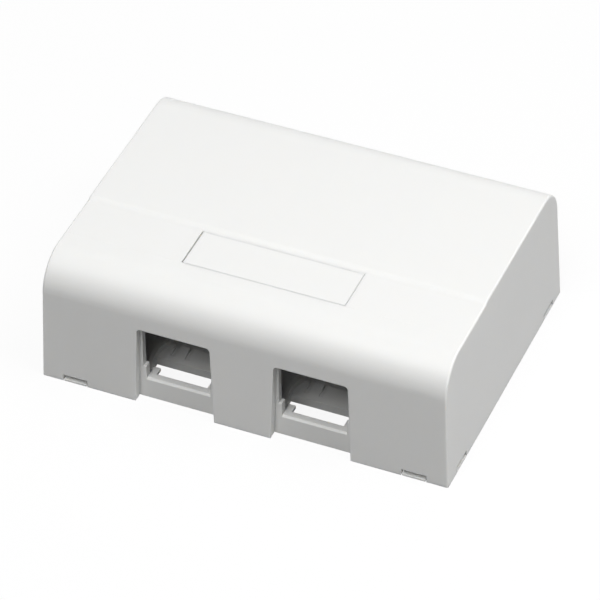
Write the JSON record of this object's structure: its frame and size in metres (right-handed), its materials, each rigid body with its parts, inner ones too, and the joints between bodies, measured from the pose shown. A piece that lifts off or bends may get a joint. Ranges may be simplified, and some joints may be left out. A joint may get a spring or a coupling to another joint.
{
  "type": "surface mount jack box",
  "caption": "Low white plastic box with rolled edges and open jack ports in its front face; a snap-off cover on a flat base, with a label insert in the top.",
  "frame": {"origin": "middle of the footprint, on the underside that meets the wall or desk", "axes": "+X across the box, to the right when its ports face the viewer; +Y from the ports to the back; +Z away from the surface it is fixed to"},
  "size_m": [0.092, 0.066, 0.0308],
  "materials": {
    "cover_plastic": "white ABS, satin with a very fine moulded texture",
    "base_plastic": "white ABS, satin",
    "label_plastic": "white ABS, satin, a touch smoother than the cover"
  },
  "bodies": {
    "base": {"base": "base_plastic"},
    "cover": {"cover": "cover_plastic"},
    "label": {"label_insert": "label_plastic"}
  },
  "joints": [
    {"name": "cover_lift", "type": "slide", "parent": "base", "child": "cover", "axis": [0, 0, 1], "range_m": [0, 0.025]},
    {"name": "label_lift", "type": "slide", "parent": "cover", "child": "label", "axis": [0, 0, 1], "range_m": [0, 0.006]}
  ]
}
